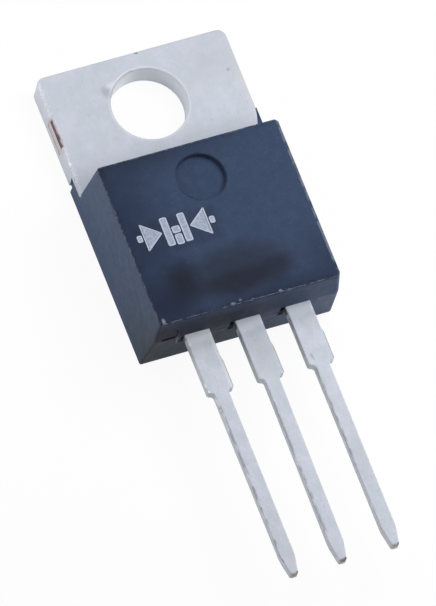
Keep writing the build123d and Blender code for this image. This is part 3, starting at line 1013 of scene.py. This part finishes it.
@dataclass
class PolaritySymbol:
    """Printed symbol of two diodes that share a cathode, in separate strokes. Millimetres."""

    finish: MarkingInk = MarkingInk()
    centre: Point = (-2.1, -7.95, FRONT_Z)
    gap: float = 0.06
    stroke_width: float = 0.36
    end_length: float = 0.26
    triangle_length: float = 0.95
    triangle_height: float = 1.5
    half_middle: float = 0.2
    stem_length: float = 0.55
    ink: float = 0.018
    sunk: float = 0.01
    corner: float = 0.08
    corner_steps: int = 3
    rim: float = 0.05
    rim_height: float = 0.008
    facing_front: float = 0.9  # the least Z of a front face's normal

    def stroke(self, left: float, right: float, bottom: float, top: float) -> bpy.types.Object:
        """Model one straight stroke.

        Args:
            left: Its left end, from the symbol's centre.
            right: Its right end.
            bottom: Its lower side.
            top: Its upper side.

        Returns:
            The finished stroke.
        """
        deselect_all()
        middle = ((left + right) / 2, (bottom + top) / 2, -self.sunk)
        bpy.ops.mesh.primitive_plane_add(size=1.0, location=middle)
        return self.raise_ink((right - left, top - bottom, 1.0))

    def triangle(self, base: float, side: int) -> bpy.types.Object:
        """Model a diode's triangle, which points to the middle.

        Args:
            base: How far its base lies from the symbol's centre.
            side: -1 for the left diode and 1 for the right one.

        Returns:
            The finished triangle.
        """
        deselect_all()
        # an equilateral triangle that is 1 long from base to tip
        bpy.ops.mesh.primitive_circle_add(
            vertices=3, radius=2 / 3, fill_type="NGON",
            location=(side * (base - self.triangle_length / 3), 0.0, -self.sunk),
        )
        base_length = 2 / sqrt(3)
        bpy.context.object.data.transform(Matrix.Rotation(side * pi / 2, 4, "Z"))
        return self.raise_ink((self.triangle_length, self.triangle_height / base_length, 1.0))

    def raise_ink(self, size: Point) -> bpy.types.Object:
        """Give the active flat shape its size, thickness, round corners and raised rim."""
        piece = bpy.context.object
        piece.scale = size
        bpy.ops.object.transform_apply(location=True, rotation=True, scale=True)
        bpy.ops.object.mode_set(mode="EDIT")
        bpy.ops.mesh.select_all(action="SELECT")
        bpy.ops.mesh.extrude_region_move(
            TRANSFORM_OT_translate={"value": (0.0, 0.0, self.sunk + self.ink)}
        )
        bpy.ops.mesh.select_all(action="SELECT")
        bpy.ops.mesh.normals_make_consistent(inside=False)
        select_in_edit(
            "EDGE", lambda edge: abs(edge.verts[0].co.z - edge.verts[1].co.z) > self.ink / 2
        )
        bpy.ops.mesh.bevel(offset=self.corner, segments=self.corner_steps, affect="EDGES")
        select_in_edit("FACE", lambda face: face.normal.z > self.facing_front)
        bpy.ops.mesh.inset(thickness=self.rim, depth=0.0)
        bpy.ops.mesh.inset(thickness=self.rim / 2, depth=-self.rim_height)
        bpy.ops.object.mode_set(mode="OBJECT")
        return piece

    def build(self) -> None:
        """Model the strokes and place them on the front of the moulding."""
        half = self.stroke_width / 2
        half_bar = self.triangle_height / 2
        pieces = [
            self.stroke(-self.half_middle, self.half_middle, -half, half),
            self.stroke(-half, half, -half - self.gap - self.stem_length, -half - self.gap),
        ]
        for side in (-1, 1):
            bar = self.half_middle + self.gap
            tip = bar + self.stroke_width + self.gap
            base = tip + self.triangle_length
            end = base + self.gap
            for inner, outer, height in (
                (bar, bar + self.stroke_width, half_bar), (end, end + self.end_length, half),
            ):
                ends = sorted((side * inner, side * outer))
                pieces.append(self.stroke(*ends, -height, height))
            pieces.append(self.triangle(base, side))
        activate(pieces[0])
        for piece in pieces:
            piece.select_set(True)
        bpy.ops.object.join()
        pieces[0].location = self.centre
        settle(pieces[0], "polarity_symbol", self.finish.material())


# ---------------------------------------------------------------- studio


@dataclass
class Lamp:
    """A large soft lamp, aimed at the middle of the object. Metres."""

    name: str
    azimuth: float
    elevation: float
    distance: float
    size: float
    power: float
    colour: Colour = WHITE

    def build(self, target: Vector) -> None:
        """Hang the lamp.

        Args:
            target: The point that it is aimed at.
        """
        data = bpy.data.lights.new(self.name, "AREA")
        data.shape = "SQUARE"
        data.size = self.size
        data.energy = self.power
        data.color = self.colour
        lamp = bpy.data.objects.new(self.name, data)
        bpy.context.scene.collection.objects.link(lamp)
        direction = direction_from(self.azimuth, self.elevation)
        lamp.location = target + self.distance * direction
        lamp.rotation_mode = "QUATERNION"
        lamp.rotation_quaternion = direction.to_track_quat("Z", "Y")
        lamp.visible_camera = False
        lamp.visible_glossy = False


def direction_from(azimuth: float, elevation: float) -> Vector:
    """Return the direction of a place round the object.

    Args:
        azimuth: Degrees from -Y, positive towards +X.
        elevation: Degrees above the floor.

    Returns:
        The unit vector to that place.
    """
    turn, rise = radians(azimuth), radians(elevation)
    return Vector((sin(turn) * cos(rise), -cos(turn) * cos(rise), sin(rise)))


@dataclass
class Studio:
    """A plain pale floor, a white surrounding, soft lamps and the camera. Metres."""

    # the camera's direction and roll in degrees, and its lens in millimetres
    azimuth: float = -35.85
    elevation: float = 62.7205
    roll: float = 17.0388
    distance: float = 0.788839
    lens: float = 999.98
    aim_offset: Point = (-0.0008331, 0.00029173, -0.00012967)
    floor_size: float = 2.0
    floor_gap: float = 0.00002
    floor_colour: Colour = (0.93, 0.93, 0.93)
    floor_white: float = 0.93  # share of plain white where the camera sees the floor
    floor_mirrored: float = 0.45  # and where the object mirrors it
    surround: float = 0.36
    lamps: list[Lamp] = field(default_factory=lambda: [
        Lamp("key", 115.0, 58.0, 0.045, 0.03, 0.0150),
        Lamp("left_fill", -125.0, 8.0, 0.035, 0.02, 0.0065),
        Lamp("right_fill", 58.0, 8.0, 0.025, 0.016, 0.0026),
    ])

    def build(self, centre: Vector) -> None:
        """Set up the studio round the object.

        Args:
            centre: The middle of the object's box.
        """
        self.camera(centre)
        self.floor()
        self.world()
        for lamp in self.lamps:
            lamp.build(centre)
        bpy.context.scene.view_settings.view_transform = "Standard"

    def camera(self, centre: Vector) -> None:
        """Place the camera and make it the scene's."""
        data = bpy.data.cameras.new("camera")
        data.lens = self.lens
        camera = bpy.data.objects.new("camera", data)
        bpy.context.scene.collection.objects.link(camera)
        direction = direction_from(self.azimuth, self.elevation)
        camera.location = centre + Vector(self.aim_offset) + self.distance * direction
        camera.rotation_mode = "QUATERNION"
        roll = Quaternion((0.0, 0.0, 1.0), radians(self.roll))
        camera.rotation_quaternion = direction.to_track_quat("Z", "Y") @ roll
        bpy.context.scene.camera = camera

    def floor(self) -> None:
        """Lay the floor. It is white where it is seen, but for a share that takes the shadow."""
        deselect_all()
        bpy.ops.mesh.primitive_plane_add(
            size=self.floor_size, location=(0.0, 0.0, -self.floor_gap)
        )
        floor = bpy.context.object
        floor.name = "floor"
        material = bpy.data.materials.new("floor")
        graph = empty_graph(material)
        lit = graph.add("BsdfDiffuse", {"Color": self.floor_colour}).outputs[0]
        white = graph.add("Emission", {"Color": WHITE, "Strength": 1.0}).outputs[0]
        seen, mirrored = self.rays(graph)
        share = graph.math(
            "MAXIMUM",
            graph.math("MULTIPLY", seen, self.floor_white),
            graph.math("MULTIPLY", mirrored, self.floor_mirrored),
        )
        mixed = graph.add("MixShader", {0: share, 1: lit, 2: white}).outputs[0]
        graph.add("OutputMaterial", {"Surface": mixed})
        floor.data.materials.append(material)
        floor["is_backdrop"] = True

    def world(self) -> None:
        """Light the object from all round, in front of a white surrounding."""
        world = bpy.data.worlds.new("surround")
        bpy.context.scene.world = world
        graph = empty_graph(world)
        soft = graph.add("Background", {"Color": WHITE, "Strength": self.surround}).outputs[0]
        white = graph.add("Background", {"Color": WHITE, "Strength": 1.0}).outputs[0]
        share = graph.math("MAXIMUM", *self.rays(graph))
        mixed = graph.add("MixShader", {0: share, 1: soft, 2: white}).outputs[0]
        graph.add("OutputWorld", {"Surface": mixed})

    def rays(self, graph: Graph) -> tuple[Socket, Socket]:
        """Return whether a ray comes from the camera, and whether from gloss or through glass."""
        path = graph.add("LightPath").outputs
        mirrored = graph.math("MAXIMUM", path["Is Glossy Ray"], path["Is Transmission Ray"])
        return path["Is Camera Ray"], mirrored


def main() -> None:
    """Build the looks in order."""
    logging.basicConfig(level=logging.INFO, format="%(message)s")
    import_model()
    packed_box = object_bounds()
    GroupMaker().build()
    Leadframe().build()
    InnerAssembly().build()
    Moulding().build()
    PolaritySymbol().build()
    low, high = (Vector(corner) for corner in packed_box)
    Studio().build((low + high) / 2)


if __name__ == "__main__":
    main()
